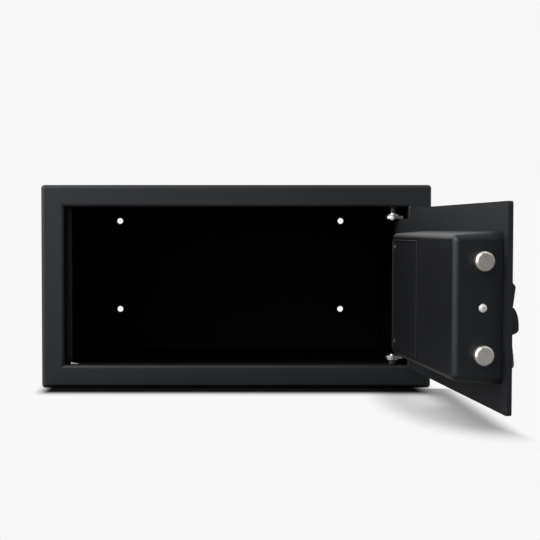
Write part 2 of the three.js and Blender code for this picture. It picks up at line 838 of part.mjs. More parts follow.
function windowPrism(gap, over, under) {
  const { z0, z1, left, right } = windowPlace(gap);
  const points = [[z0, hoodFace(z0) - under], [z1, hoodFace(z1) - under], [z1, hoodFace(z1) + over],
    [z0, hoodFace(z0) + over]];
  return ledge(points, left, right);
}

function displayHood() {
  const body = ledge(outlineOf(hoodShares, hoodLow, hoodTall, hoodRise), columnLeft, columnRight);
  return named('display_hood', body.subtract(windowPrism(0, cutOver, windowSheet + seatGap)), blackPlastic);
}

function displayWindow() {
  return named('display_window', windowPrism(seatGap, -seatGap, windowSheet), tintedPane);
}

function fingerPull() {
  const body = ledge(outlineOf(pullShares, pullLow, pullTall, pullRise), columnLeft, columnRight);
  const inner = outlineOf(pullShares.slice(2), pullLow - pullSkin, pullTall - pullSkin, pullRise);
  const hollow = inner.map(([z, out]) => [z, out - pullSkin]);
  const base = -columnBase - cutOver;
  const below = pullLow - cutOver;
  const above = pullLow + pullTall - 2 * pullSkin;
  const points = [[below, base], [above, base], ...hollow, [below, hollow.at(-1)[1]]];
  const cavity = ledge(points, columnLeft + pullSkin, columnRight - pullSkin);
  return named('finger_pull', body.subtract(cavity), blackPlastic);
}

function overrideFlap() {
  const body = ledge(outlineOf(flapShares, flapLow, flapTall, flapRise), columnLeft, columnRight);
  const x0 = columnLeft + knuckleInset + knucklePlay;
  const x1 = columnRight - knuckleInset - knucklePlay;
  const knuckle = rod('x', knuckleRadius, x0, x1, flapPinY, flapPinZ);
  const endZ = flapPinZ - knucklePlay - seatGap;
  const tools = [
    rod('x', flapPinRadius + seatGap, x0 - cutOver, x1 + cutOver, flapPinY, flapPinZ),
    block(columnLeft - cutOver, x0, faceY - cutOver, faceY, endZ, endZ + cutOver),
    block(x1, columnRight + cutOver, faceY - cutOver, faceY, endZ, endZ + cutOver),
  ];
  return named('override_flap', cutBy(body.add(knuckle), tools), bronzePaint);
}

function flapPin() {
  const x0 = columnLeft + knuckleInset - flapPinReach;
  const x1 = columnRight - knuckleInset + flapPinReach;
  return named('flap_pin', rod('x', flapPinRadius, x0, x1, flapPinY, flapPinZ), zincSteel);
}

function keypadHousing() {
  const x1 = housingRight;
  const z0 = housingZ - housingHeight / 2;
  const z1 = housingZ + housingHeight / 2;
  const body = bentBlock(housingLeft, x1, z0, z1, faceY, outerY, housingCorner, housingBevel, -1);
  const [fx0, fx1, fz0, fz1] = keyField(keyHollowMargin);
  const tools = [
    block(fx0, fx1, faceY + housingSkin, outerY + cutOver, fz0, fz1),
    block(columnLeft + scoopInset, columnRight - scoopInset, faceY - cutOver, faceY + scoopDepth,
      pullLow, pullLow + pullTall - scoopInset),
    block(columnLeft + knuckleInset, columnRight - knuckleInset, faceY - cutOver,
      flapPinY + knuckleRadius + knucklePlay, flapPinZ - knuckleRadius - knucklePlay,
      pullLow + seatGap),
    rod('x', flapPinRadius + boreGap, columnLeft + knuckleInset - flapPinReach - boreGap,
      columnRight - knuckleInset + flapPinReach + boreGap, flapPinY, flapPinZ),
    rod('y', barrelHeadRadius + boreGap, faceY - cutOver, faceY + barrelHeadSheet + boreGap,
      barrelX, barrelZ),
    rod('y', barrelRadius + seatGap, faceY - cutOver, outerY + cutOver, barrelX, barrelZ),
  ];
  for (const [x, z] of keyPlaces()) {
    tools.push(keyPrism(x, z, keyPlay, faceY - cutOver, faceY + housingSkin + cutOver / 2));
  }
  return named('keypad_housing', cutBy(body, tools), blackPlastic);
}

function keyBoard() {
  const [x0, x1, z0, z1] = keyField(keyHollowMargin - keyBoardPlay);
  const back = faceY + housingSkin + seatGap + keyFlangeSheet + keyTravel + seatGap;
  return named('key_board', block(x0, x1, back, back + keyBoardSheet, z0, z1), greenBoard);
}

function keyMesh(name, x, z) {
  const top = faceY - keyProud;
  const flangeFront = faceY + housingSkin + seatGap;
  const cap = keyPrism(x, z, 0, top, flangeFront + keyFlangeSheet / 2);
  const flange = keyPrism(x, z, keyFlange, flangeFront, flangeFront + keyFlangeSheet);
  return named(name, cap.add(flange), keyRubber);
}

// Override lock
function lockBarrel() {
  const front = faceY;
  const headBack = front + barrelHeadSheet;
  const back = innerY + barrelBack;
  const body = joined([
    rod('y', barrelHeadRadius, front, headBack, barrelX, barrelZ),
    rod('y', barrelRadius, front, back, barrelX, barrelZ),
  ]);
  const bore = rod('y', plugRadius + boreGap, front - cutOver, back + cutOver, barrelX, barrelZ);
  return named('lock_barrel', body.subtract(bore), zincSteel);
}

function keyCylinder() {
  const front = faceY + seatGap;
  const back = innerY + barrelBack + seatGap;
  const tail = back + plugTail;
  const profile = [
    [0, front], [plugRadius, front], [plugRadius, back], [tailRadius, back], [tailRadius, tail], [0, tail]];
  const keyway = block(
    barrelX - keywayWidth / 2, barrelX + keywayWidth / 2, front - cutOver, front + keywayDepth,
    barrelZ - keywayHeight / 2, barrelZ + keywayHeight / 2);
  return named('key_cylinder', turned('y', profile, barrelX, barrelZ).subtract(keyway), brassMetal);
}

function cylinderCam() {
  const y = innerY + barrelBack + 2 * seatGap;
  const shape = roundedShape(
    barrelX - camWidth / 2, barrelX + camWidth / 2, barrelZ - camLength, barrelZ + camWidth / 2, camCorner);
  const hole = rod('y', tailRadius + boreGap, y - cutOver, y + camSheet + cutOver, barrelX, barrelZ);
  return named('cylinder_cam', plate(shape, y, y + camSheet).subtract(hole), zincSteel);
}

// Assembly
const group = new THREE.Group();
group.add(caseWrap(), backPanel(), frontFrame(), latchGuard(), doorStop());
const pinTopTip = lugTopZ - pinTipReach;
const pinBottomTip = lugBottomZ + lugThickness + pinTipReach;
group.add(hingePin('hinge_pin_top', openTop + caseSheet, pinTopTip, 1));
group.add(hingePin('hinge_pin_bottom', openBottom - caseSheet, pinBottomTip, -1));
const washerTop = lugBottomZ - seatGap;
const washerBase = washerTop - washerThickness;
const upperWasherBase = lugTopZ + lugThickness + seatGap;
group.add(ring('hinge_bush', bushRadius, openBottom, washerBase));
group.add(ring('hinge_washer', washerRadius, washerBase, washerTop));
group.add(ring('hinge_washer_top', washerRadius, upperWasherBase, upperWasherBase + washerThickness));

// Everything on the door turns about the hinge pins
const door = new THREE.Group();
const closed = new THREE.Group();
door.position.set(pinX, pinY, 0);
door.rotation.z = THREE.MathUtils.degToRad(openAngle);
closed.position.set(-pinX, -pinY, 0);
door.add(closed);
group.add(door);

closed.add(doorPlate(), hingeLug('hinge_lug_top', lugTopZ), hingeLug('hinge_lug_bottom', lugBottomZ));
closed.add(lockCover(), batteryCover(), endScrew(), boltGuide(), circuitBoard());
closed.add(...boardPosts(), ...gearMotor());
const [lowScrew, highScrew] = lidScrewPlaces();
closed.add(lidScrew('battery_cover_screw_lower', ...lowScrew));
closed.add(lidScrew('battery_cover_screw_upper', ...highScrew));
const tray = batteryTray();
closed.add(tray.mesh, ...batteries(tray));
closed.add(boltCarriage(), bolt('bolt_lower', boltZs[0]), bolt('bolt_upper', boltZs[1]), drivePinion());
closed.add(keypadHousing(), keyBoard(), displayHood(), displayWindow());
closed.add(fingerPull(), overrideFlap(), flapPin());
closed.add(lockBarrel(), keyCylinder(), cylinderCam());
const keyNames = ['1', '2', '3', '4', '5', '6', '7', '8', '9', 'clear', '0', 'enter'];
keyPlaces().forEach(([x, z], index) => closed.add(keyMesh(`key_${keyNames[index]}`, x, z)));

export default group;
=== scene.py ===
import json
import math
import bpy
from mathutils import Matrix, Vector

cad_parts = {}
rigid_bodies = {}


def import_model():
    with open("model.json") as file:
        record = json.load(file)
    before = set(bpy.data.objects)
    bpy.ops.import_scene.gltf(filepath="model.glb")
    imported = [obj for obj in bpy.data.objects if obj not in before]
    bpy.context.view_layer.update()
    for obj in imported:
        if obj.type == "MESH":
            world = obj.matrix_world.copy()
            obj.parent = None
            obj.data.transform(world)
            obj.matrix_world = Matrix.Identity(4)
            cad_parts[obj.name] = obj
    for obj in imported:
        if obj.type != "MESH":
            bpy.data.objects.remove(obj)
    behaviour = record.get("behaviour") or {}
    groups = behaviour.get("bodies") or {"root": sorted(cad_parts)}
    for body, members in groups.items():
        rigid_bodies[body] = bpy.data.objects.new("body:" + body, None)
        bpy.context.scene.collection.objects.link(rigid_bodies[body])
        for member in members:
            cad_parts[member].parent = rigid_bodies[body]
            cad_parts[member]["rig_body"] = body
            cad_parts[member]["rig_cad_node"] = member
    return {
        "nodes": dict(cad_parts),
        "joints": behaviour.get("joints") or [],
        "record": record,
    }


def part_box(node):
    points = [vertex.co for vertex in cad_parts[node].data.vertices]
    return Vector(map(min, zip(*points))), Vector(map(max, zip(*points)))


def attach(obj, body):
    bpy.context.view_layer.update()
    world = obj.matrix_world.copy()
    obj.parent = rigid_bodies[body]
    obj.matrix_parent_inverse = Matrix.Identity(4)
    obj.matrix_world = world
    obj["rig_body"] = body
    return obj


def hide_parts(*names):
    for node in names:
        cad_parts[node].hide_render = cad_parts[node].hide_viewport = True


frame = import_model()
nodes = frame["nodes"]
joints = {joint["name"]: joint for joint in frame["joints"]}
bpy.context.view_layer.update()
mm = 0.001
print("frame loaded:", len(nodes), "nodes")

# The door's own directions, as it stands open
alongDoor = Vector(joints["bolt_throw"]["axis"]).normalized()
inward = Vector(joints["key_1_press"]["axis"]).normalized()
outward = -inward
up = Vector((0, 0, 1))


def bodyOf(node):
    for body, members in frame["record"]["behaviour"]["bodies"].items():
        if node in members:
            return body


def reach(node, direction):
    return max(vertex.co.dot(direction) for vertex in nodes[node].data.vertices)


def middle(node):
    low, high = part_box(node)
    return (low + high) / 2


def onSide(node, direction):  # the middle of a node's far side
    centre = middle(node)
    return centre + direction * (reach(node, direction) - centre.dot(direction))


def clamped(value):
    return min(max(value, 0), 1)


# Camera, fitted to the photograph
camera = {
    "place": (-0.0270, -1.3779, 0.1713),
    "tiltDown": 1.954,
    "lens": 73.88,
    "sensor": 36.0,
    "shift": (0.109, -0.0054),
    "clip": (0.05, 60),
}


def addCamera():
    tilt = math.radians(90 - camera["tiltDown"])
    bpy.ops.object.camera_add(location=camera["place"], rotation=(tilt, 0, 0))
    made = bpy.context.object
    made.data.lens = camera["lens"]
    made.data.sensor_width = camera["sensor"]
    made.data.shift_x, made.data.shift_y = camera["shift"]
    made.data.clip_start, made.data.clip_end = camera["clip"]
    bpy.context.scene.camera = made


addCamera()
print("camera set")


# Materials
class Wire:  # what a node gives out, ready to take part in sums
    def __init__(self, finish, socket):
        self.finish = finish
        self.socket = socket

    def sum(self, operation, first, second):
        return self.finish.node("ShaderNodeMath", {"operation": operation}, {0: first, 1: second})

    def __add__(self, other):
        return self.sum("ADD", self, other)

    def __radd__(self, other):
        return self.sum("ADD", other, self)

    def __sub__(self, other):
        return self.sum("SUBTRACT", self, other)

    def __rsub__(self, other):
        return self.sum("SUBTRACT", other, self)

    def __mul__(self, other):
        return self.sum("MULTIPLY", self, other)

    def __rmul__(self, other):
        return self.sum("MULTIPLY", other, self)

    def __pow__(self, other):
        return self.sum("POWER", self, other)

    def __rpow__(self, other):
        return self.sum("POWER", other, self)

    def __gt__(self, other):
        return self.sum("GREATER_THAN", self, other)

    def __lt__(self, other):
        return self.sum("LESS_THAN", self, other)


class Finish:  # the nodes that one material, or the room, is made of
    def __init__(self, owner, shader, **constants):
        owner.use_nodes = True
        self.owner = owner
        self.tree = owner.node_tree
        self.shader = self.tree.nodes[shader]
        for key, value in constants.items():
            self.shader.inputs[key.replace("_", " ")].default_value = value

    def node(self, kind, settings, inputs, output=0):
        made = self.tree.nodes.new(kind)
        for key, value in settings.items():
            if key == "stops":  # a ramp's two ends
                for stop, (place, color) in zip(made.color_ramp.elements, value):
                    stop.position = place
                    stop.color = color
            else:
                setattr(made, key, value)
        for key, value in inputs.items():
            if isinstance(value, Wire):
                self.tree.links.new(value.socket, made.inputs[key])
            else:
                made.inputs[key].default_value = value
        return Wire(self, made.outputs[output])

    def feed(self, name, wire):
        self.tree.links.new(wire.socket, self.shader.inputs[name])

    def show(self, share, first, second, end):  # two shaders mixed, as what the tree shows
        blend = self.node("ShaderNodeMixShader", {}, {0: share, 1: first, 2: second})
        self.tree.links.new(blend.socket, self.tree.nodes[end].inputs["Surface"])

    def place(self, centre=(0, 0, 0), turn=(0, 0, 0), scale=(1, 1, 1)):
        coords = self.node("ShaderNodeTexCoord", {}, {}, "Object")
        return self.node(
            "ShaderNodeMapping", {"vector_type": "TEXTURE"},
            {"Vector": coords, "Location": centre, "Rotation": turn, "Scale": scale})

    def axis(self, place, letter):
        return self.node("ShaderNodeSeparateXYZ", {}, {0: place}, letter)

    def noise(self, place, scale, detail, roughness=0.5):
        return self.node(
            "ShaderNodeTexNoise", {},
            {"Vector": place, "Scale": scale, "Detail": detail, "Roughness": roughness})

    def mix(self, factor, first, second):  # of two colours
        return self.node(
            "ShaderNodeMix", {"data_type": "RGBA"}, {0: factor, 6: first, 7: second}, 2)

    def bump(self, height, strength, distance):
        self.feed("Normal", self.node(
            "ShaderNodeBump", {}, {"Height": height, "Strength": strength, "Distance": distance}))

    def larger(self, first, second):
        return self.node("ShaderNodeMath", {"operation": "MAXIMUM"}, {0: first, 1: second})

    def smooth(self, value, start, end, low=0.0, high=1.0):  # a soft step
        return self.node(
            "ShaderNodeMapRange", {"interpolation_type": "SMOOTHSTEP"},
            {0: value, 1: start, 2: end, 3: low, 4: high})

    def between(self, value, start, full, ebb, end):  # a soft step up and another down
        return self.smooth(value, start, full) * self.smooth(value, ebb, end, 1.0, 0.0)

    def rays(self):  # camera rays, and the rays that show the room in metal and glass
        seen = self.node("ShaderNodeLightPath", {}, {}, "Is Camera Ray")
        glossy = self.node("ShaderNodeLightPath", {}, {}, "Is Glossy Ray")
        through = self.node("ShaderNodeLightPath", {}, {}, "Is Transmission Ray")
        return seen, self.larger(glossy, through)


def newFinish(name, **constants):
    return Finish(bpy.data.materials.new(name), "Principled BSDF", **constants)


def grey(value):
    return (value, value, value, 1)


# In these settings a noise has its scale, its detail and sometimes its roughness, a bump has
# its strength and its depth, and a share says how much of a pattern is added to the roughness,
# or to the pattern that it is mixed with
powder = {
    "color": (0.0062, 0.0065, 0.0074, 1),
    "paleColor": (0.0080, 0.0084, 0.0094, 1),
    "specular": 0.47,
    "tint": (0.88, 0.94, 1.0, 1),  # of the gloss
    "roughness": 0.39,
    "grain": (1100, 3),
    "grainShare": 0.04,
    "cloud": (9, 4),
    "cloudShare": 0.06,
    "bump": (0.22, 0.00012),
}
# the inner coat: its darker colour and weaker gloss are painted shade inside the case
innerShadePowder = dict(
    powder, color=(0.0040, 0.0040, 0.0042, 1), paleColor=(0.0054, 0.0054, 0.0056, 1),
    specular=0.08, roughness=0.57)
platePowder = dict(powder, specular=0.35, roughness=0.57)
coverPowder = dict(powder, roughness=0.35)


def powderCoat(name, settings):
    finish = newFinish(
        name, Specular_IOR_Level=settings["specular"], Specular_Tint=settings["tint"])
    place = finish.place()
    grain = finish.noise(place, *settings["grain"])
    cloud = finish.noise(place, *settings["cloud"])
    finish.feed("Base Color", finish.mix(cloud, settings["color"], settings["paleColor"]))
    uneven = cloud * settings["cloudShare"] + grain * settings["grainShare"]
    finish.feed("Roughness", settings["roughness"] + uneven)
    finish.bump(grain, *settings["bump"])
    return finish.owner


zinc = {
    "color": (0.66, 0.66, 0.65, 1),
    "darkColor": (0.44, 0.43, 0.42, 1),
    "metal": 1.0,
    "roughness": 0.16,
    "cloud": (160, 5, 0.6),
    "cloudShare": 0.14,
    "brush": (9, 3),
    "brushGrain": (0.002, 0.002, 0.03),
    "brushShare": 0.08,
    "bump": (0.12, 0.0001),
}
brightZinc = dict(
    zinc, color=(0.97, 0.97, 0.98, 1), darkColor=(0.84, 0.84, 0.85, 1),
    metal=0.15, roughness=0.26)
darkZinc = dict(
    zinc, color=(0.10, 0.10, 0.10, 1), darkColor=(0.05, 0.05, 0.05, 1),
    metal=0.9, roughness=0.30)


def zincPlate(name, settings):
    finish = newFinish(name, Metallic=settings["metal"])
    cloud = finish.noise(finish.place(), *settings["cloud"])
    brushed = finish.noise(finish.place(scale=settings["brushGrain"]), *settings["brush"])
    finish.feed("Base Color", finish.mix(cloud, settings["color"], settings["darkColor"]))
    uneven = cloud * settings["cloudShare"] + brushed * settings["brushShare"]
    finish.feed("Roughness", settings["roughness"] + uneven)
    finish.bump(brushed, *settings["bump"])
    return finish.owner


turned = {
    "color": (0.93, 0.905, 0.86, 1),
    "stain": (0.34, 0.25, 0.17, 1),
    "metal": 1.0,
    "roughness": 0.24,
    "ringPitch": 0.42 * mm,
    "ringShare": 0.5,
    "blotch": (230, 5, 0.62),
    "blotchShare": 0.7,
    "speckle": (1200, 3, 0.6),
    "speckleShare": 0.08,
    "stainFrom": 0.42,
    "stainFull": 0.68,
    "stainShare": 0.22,
    "bump": (0.25, 0.00006),
}


def turnedSteel(name, node, stains):  # lathe rings round the bolt's own axis, brown stains
    finish = newFinish(name, Metallic=turned["metal"])
    lean = math.atan2(alongDoor.x, -alongDoor.y)
    place = finish.place(centre=middle(node), turn=(0, 0, lean))
    across = finish.axis(place, "X")
    height = finish.axis(place, "Z")
    radius = (across * across + height * height) ** 0.5
    turns = radius * (2 * math.pi / turned["ringPitch"])
    rings = finish.node("ShaderNodeMath", {"operation": "SINE"}, {0: turns})
    blotch = finish.noise(place, *turned["blotch"])
    speckle = finish.noise(place, *turned["speckle"])
    spread = blotch * turned["blotchShare"] + speckle * (1 - turned["blotchShare"])
    stops = [(turned["stainFrom"], grey(0)), (turned["stainFull"], grey(1))]
    mask = finish.node("ShaderNodeValToRGB", {"stops": stops}, {0: spread})
    finish.feed("Base Color", finish.mix(mask * stains, turned["color"], turned["stain"]))
    uneven = mask * turned["stainShare"] + speckle * turned["speckleShare"]
    finish.feed("Roughness", turned["roughness"] + uneven)
    relief = rings * turned["ringShare"] + speckle * (1 - turned["ringShare"])
    finish.bump(relief, *turned["bump"])
    return finish.owner


plastic = {
    "color": (0.010, 0.0102, 0.011, 1),
    "paleColor": (0.014, 0.014, 0.015, 1),
    "roughness": 0.35,
    "spark": (2200, 2),
    "sparkShare": 0.10,
    "cloud": (30, 3),
    "bump": (0.2, 0.00008),
}
keyRubber = dict(
    plastic, color=(0.030, 0.031, 0.034, 1), paleColor=(0.040, 0.041, 0.044, 1),
    roughness=0.53)
keyPrint = dict(
    plastic, color=(0.62, 0.62, 0.60, 1), paleColor=(0.70, 0.70, 0.68, 1), roughness=0.45)


def mouldedPlastic(name, settings):
    finish = newFinish(name)
    place = finish.place()
    spark = finish.noise(place, *settings["spark"])
    cloud = finish.noise(place, *settings["cloud"])
    finish.feed("Base Color", finish.mix(cloud, settings["color"], settings["paleColor"]))
    finish.feed("Roughness", settings["roughness"] + spark * settings["sparkShare"])
    finish.bump(spark, *settings["bump"])
    return finish.owner


bronze = {
    "color": (0.120, 0.084, 0.064, 1),
    "paleColor": (0.23, 0.17, 0.135, 1),
    "metal": 0.75,
    "coat": 0.3,
    "coatRoughness": 0.2,
    "roughness": 0.38,
    "flakeScale": 2600,
    "flakeTone": 0.6,
    "cloud": (45, 3),
    "cloudTone": 0.2,
    "cloudShare": 0.08,
    "bump": (0.08, 0.00005),
}


def bronzeCoat():  # metallic flakes in a satin bronze paint
    finish = newFinish(
        "bronze_coat", Metallic=bronze["metal"], Coat_Weight=bronze["coat"],
        Coat_Roughness=bronze["coatRoughness"])
    place = finish.place()
    flakes = finish.node(
        "ShaderNodeTexVoronoi", {}, {"Vector": place, "Scale": bronze["flakeScale"]}, "Color")
    flake = finish.axis(flakes, "X")
    cloud = finish.noise(place, *bronze["cloud"])
    tone = flake * bronze["flakeTone"] + cloud * bronze["cloudTone"]
    finish.feed("Base Color", finish.mix(tone, bronze["color"], bronze["paleColor"]))
    finish.feed("Roughness", bronze["roughness"] + cloud * bronze["cloudShare"])
    finish.bump(flake, *bronze["bump"])
    return finish.owner


pane = {
    "color": (0.004, 0.005, 0.007, 1),
    "dustColor": (0.010, 0.012, 0.016, 1),
    "coat": 1.0,
    "coatRoughness": 0.04,
    "roughness": 0.06,
    "dust": (420, 6, 0.7),
    "dustShare": 0.12,
}


def tintedPane():
    finish = newFinish(
        "tinted_pane", Coat_Weight=pane["coat"], Coat_Roughness=pane["coatRoughness"])
    dust = finish.noise(finish.place(), *pane["dust"])
    finish.feed("Base Color", finish.mix(dust, pane["color"], pane["dustColor"]))
    finish.feed("Roughness", pane["roughness"] + dust * pane["dustShare"])
    return finish.owner


board = {
    "color": (0.012, 0.060, 0.030, 1),
    "trackColor": (0.05, 0.20, 0.09, 1),
    "coat": 0.6,
    "coatRoughness": 0.15,
    "roughness": 0.34,
    "trackScale": 260,
    "trackWidth": 0.03,
    "cloud": (120, 3),
    "cloudShare": 0.12,
    "bump": (0.3, 0.00005),
}


def circuitGreen():
    finish = newFinish(
        "circuit_green", Coat_Weight=board["coat"], Coat_Roughness=board["coatRoughness"])
    place = finish.place()
    grid = {"Vector": place, "Scale": board["trackScale"], "Mortar Size": board["trackWidth"]}
    tracks = finish.node("ShaderNodeTexBrick", {}, grid, "Fac")
    cloud = finish.noise(place, *board["cloud"])
    finish.feed("Base Color", finish.mix(tracks, board["color"], board["trackColor"]))
    finish.feed("Roughness", board["roughness"] + cloud * board["cloudShare"])
    finish.bump(tracks, *board["bump"])
    return finish.owner


brass = {
    "color": (0.62, 0.45, 0.19, 1),
    "dullColor": (0.40, 0.27, 0.10, 1),
    "metal": 1.0,
    "roughness": 0.24,
    "cloud": (210, 4, 0.6),
    "cloudShare": 0.16,
    "bump": (0.1, 0.00005),
}


def plainBrass():
    finish = newFinish("plain_brass", Metallic=brass["metal"])
    cloud = finish.noise(finish.place(), *brass["cloud"])
    finish.feed("Base Color", finish.mix(cloud, brass["color"], brass["dullColor"]))
    finish.feed("Roughness", brass["roughness"] + cloud * brass["cloudShare"])
    finish.bump(cloud, *brass["bump"])
    return finish.owner


sleeve = {
    "color": (0.030, 0.033, 0.040, 1),
    "bandColor": (0.42, 0.22, 0.05, 1),
    "bandFrom": 9 * mm,  # past the middle of a cell
    "coat": 0.5,
    "coatRoughness": 0.1,
    "roughness": 0.28,
    "cloud": (300, 3),
    "cloudShare": 0.1,
}


def cellSleeve():  # a printed sleeve with one warm band and no words
    finish = newFinish(
        "cell_sleeve", Coat_Weight=sleeve["coat"], Coat_Roughness=sleeve["coatRoughness"])
    place = finish.place()
    band = finish.axis(place, "Y") > middle("battery_cell_1").y + sleeve["bandFrom"]
    cloud = finish.noise(place, *sleeve["cloud"])
    finish.feed("Base Color", finish.mix(band, sleeve["color"], sleeve["bandColor"]))
    finish.feed("Roughness", sleeve["roughness"] + cloud * sleeve["cloudShare"])
    return finish.owner


coat = powderCoat("powder_coat", powder)
innerShadeCoat = powderCoat("inner_coat_painted_shade", innerShadePowder)
plateCoat = powderCoat("plate_coat", platePowder)
coverCoat = powderCoat("cover_coat", coverPowder)
rubber = mouldedPlastic("key_rubber", keyRubber)
materialOf = {
    "black_paint": coat,
    "zinc_steel": zincPlate("zinc_plate", zinc),
    "black_plastic": mouldedPlastic("moulded_plastic", plastic),
    "key_rubber": rubber,
    "tinted_pane": tintedPane(),
    "bronze_paint": bronzeCoat(),
    "green_board": circuitGreen(),
    "cell_wrap": cellSleeve(),
    "brass": plainBrass(),
}
slotOf = {entry["node"]: entry["material_slot"] for entry in frame["record"]["subparts"]}
print("materials made:", len(bpy.data.materials))


# Pieces shaped from the CAD nodes: merged copies with their edges rounded
merging = {"distance": 0.002 * mm, "flatAngle": 0.5}  # angles in degrees
edges = {"segments": 2, "sharpAngle": 32, "smoothAngle": 48}
rounded = {  # how far each node's edges are rounded, in millimetres
    "case_wrap": 0.5, "back_panel": 0.4, "front_frame": 0.5, "latch_guard": 0.4,
    "door_stop": 0.5, "door_plate": 1.7, "lock_cover": 0.35, "battery_cover": 0.45,
    "hinge_lug_top": 0.5, "hinge_lug_bottom": 0.5, "hinge_pin_top": 0.5,
    "hinge_pin_bottom": 0.5, "hinge_washer": 0.4, "hinge_washer_top": 0.4, "hinge_bush": 0.4,
    "keypad_housing": 0.5, "display_hood": 0.5, "display_window": 0.25, "finger_pull": 0.45,
    "override_flap": 0.35, "lock_barrel": 0.4, "key_cylinder": 0.25, "bolt_guide": 0.3,
    "bolt_carriage": 0.3,
}


def selectOnly(piece):
    bpy.ops.object.select_all(action="DESELECT")
    piece.select_set(True)
    bpy.context.view_layer.objects.active = piece


def mergedCopy(node):
    piece = nodes[node].copy()
    piece.data = nodes[node].data.copy()
    piece.name = node + "_finish"
    piece.parent = None
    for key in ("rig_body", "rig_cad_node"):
        del piece[key]
    bpy.context.scene.collection.objects.link(piece)
    selectOnly(piece)
    bpy.ops.object.mode_set(mode="EDIT")
    bpy.ops.mesh.select_all(action="SELECT")
    bpy.ops.mesh.remove_doubles(threshold=merging["distance"])
    bpy.ops.mesh.dissolve_limited(angle_limit=math.radians(merging["flatAngle"]))
    bpy.ops.object.mode_set(mode="OBJECT")
    return piece


def softEdges(piece, width, segments=edges["segments"]):
    selectOnly(piece)
    rounding = piece.modifiers.new("rounding", "BEVEL")
    rounding.width = width
    rounding.segments = segments
    rounding.limit_method = "ANGLE"
    rounding.angle_limit = math.radians(edges["sharpAngle"])
    rounding.use_clamp_overlap = True
    bpy.ops.object.modifier_apply(modifier="rounding")
    bpy.ops.object.shade_smooth_by_angle(angle=math.radians(edges["smoothAngle"]))
    weights = piece.modifiers.new("weights", "WEIGHTED_NORMAL")
    weights.keep_sharp = True
    bpy.ops.object.modifier_apply(modifier="weights")


def finishIn(piece, material):
    piece.data.materials.clear()
    piece.data.materials.append(material)


def standFor(piece, node, material):
    finishIn(piece, material)
    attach(piece, bodyOf(node))
    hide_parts(node)


def cutAcross(piece, place, direction):
    selectOnly(piece)
    bpy.ops.object.mode_set(mode="EDIT")
    bpy.ops.mesh.select_all(action="SELECT")
    bpy.ops.mesh.bisect(plane_co=place, plane_no=direction)
    bpy.ops.object.mode_set(mode="OBJECT")


# Cavity: where the walls look into the case or its mouth they take the inner coat, whose darker
# colour and weaker gloss are painted shade
cavity = {
    "walls": ("case_wrap", "back_panel", "front_frame"),
    "inside": ((-0.2086, -0.1650, 0.0014), (0.2086, 0.1836, 0.2176)),
    "mouth": ((-0.1860, -0.1812, 0.0240), (0.1860, -0.1640, 0.1960)),
}


def within(point, space):
    return all(low < value < high for low, value, high in zip(space[0], point, space[1]))


def shadeInside(piece):
    piece.data.materials.append(innerShadeCoat)
    for face in piece.data.polygons:
        if within(face.center, cavity["inside"]) or within(face.center, cavity["mouth"]):
            face.material_index = 1


# Front frame: the outer edge rolls over in a wider curve than the sheet's own bend
frontRoll = {
    "width": 4.0 * mm,
    "corner": 3.5 * mm,
    "cuts": (2.1 * mm, 2.8 * mm, 3.4 * mm, 4.0 * mm),
}


def rollFront(piece):
    low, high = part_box("front_frame")
    centre = (low + high) / 2
    half = (high - low) / 2
    for cut in frontRoll["cuts"]:
        for side in (-1, 1):
            cutAcross(piece, (centre.x + side * (half.x - cut), 0, 0), (1, 0, 0))
            cutAcross(piece, (0, 0, centre.z + side * (half.z - cut)), (0, 0, 1))
    corner = frontRoll["corner"]
    width = frontRoll["width"]
    for vertex in piece.data.vertices:
        across = abs(vertex.co.x - centre.x) - (half.x - corner)
        upright = abs(vertex.co.z - centre.z) - (half.z - corner)
        past = math.hypot(max(across, 0), max(upright, 0)) + min(max(across, upright), 0)
        fromEdge = corner - past
        if fromEdge < width:
            share = clamped((width - fromEdge) / width)
            rolled = low.y + width * (1 - math.sqrt(1 - share * share))
            vertex.co.y = max(vertex.co.y, rolled)


# Lock cover: its long walls lean outwards to the plate, as pressed sheet does
coverDraft = {"lean": 2.7 * mm, "deep": 35 * mm, "wallFrom": 50 * mm, "wallTo": 57.5 * mm}


def leanCover(piece):
    base = reach("door_plate", inward)
    centre = middle("lock_cover").z
    wallFrom = coverDraft["wallFrom"]
    for vertex in piece.data.vertices:
        depth = vertex.co.dot(inward) - base
        high = vertex.co.z - centre
        share = clamped((abs(high) - wallFrom) / (coverDraft["wallTo"] - wallFrom))
        share *= clamped(1 - depth / coverDraft["deep"])
        vertex.co.z += math.copysign(share * coverDraft["lean"], high)


# Door stop: it slopes down towards the hinge side
stopSlope = {"lowEnd": 0.3}


def wedgeStop(piece):
    low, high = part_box("door_stop")
    centre = (low + high) / 2
    for vertex in piece.data.vertices:
        if vertex.co.z > centre.z and vertex.co.x > centre.x:
            vertex.co.z = low.z + stopSlope["lowEnd"] * (high.z - low.z)


# Hinge pins: bare beside their washers; further away the black coat is painted shade
hingePins = {
    "hinge_pin_top": {"washer": "hinge_washer_top", "side": 1, "bare": 1.8 * mm},
    "hinge_pin_bottom": {"washer": "hinge_washer", "side": -1, "bare": 0.0},
}


def shadePin(piece, pin):
    low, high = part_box(pin["washer"])
    edge = (high.z if pin["side"] > 0 else low.z) + pin["side"] * pin["bare"]
    cutAcross(piece, (0, 0, edge), (0, 0, 1))
    # the black coat on the pin away from its washer is painted shade
    piece.data.materials.append(coat)
    for face in piece.data.polygons:
        if (face.center.z - edge) * pin["side"] > 0:
            face.material_index = 1


reshaped = {"front_frame": rollFront, "lock_cover": leanCover, "door_stop": wedgeStop}
dressedIn = {  # the nodes that don't have the finish of their slot
    "door_plate": plateCoat, "lock_cover": coverCoat, "battery_cover": coverCoat,
    "hinge_bush": materialOf["black_plastic"],
}


def dressRounded():
    for node, width in rounded.items():
        piece = mergedCopy(node)
        if node in reshaped:
            reshaped[node](piece)
        softEdges(piece, width * mm)
        standFor(piece, node, dressedIn.get(node, materialOf[slotOf[node]]))
        if node in cavity["walls"]:
            shadeInside(piece)
        if node in hingePins:
            shadePin(piece, hingePins[node])


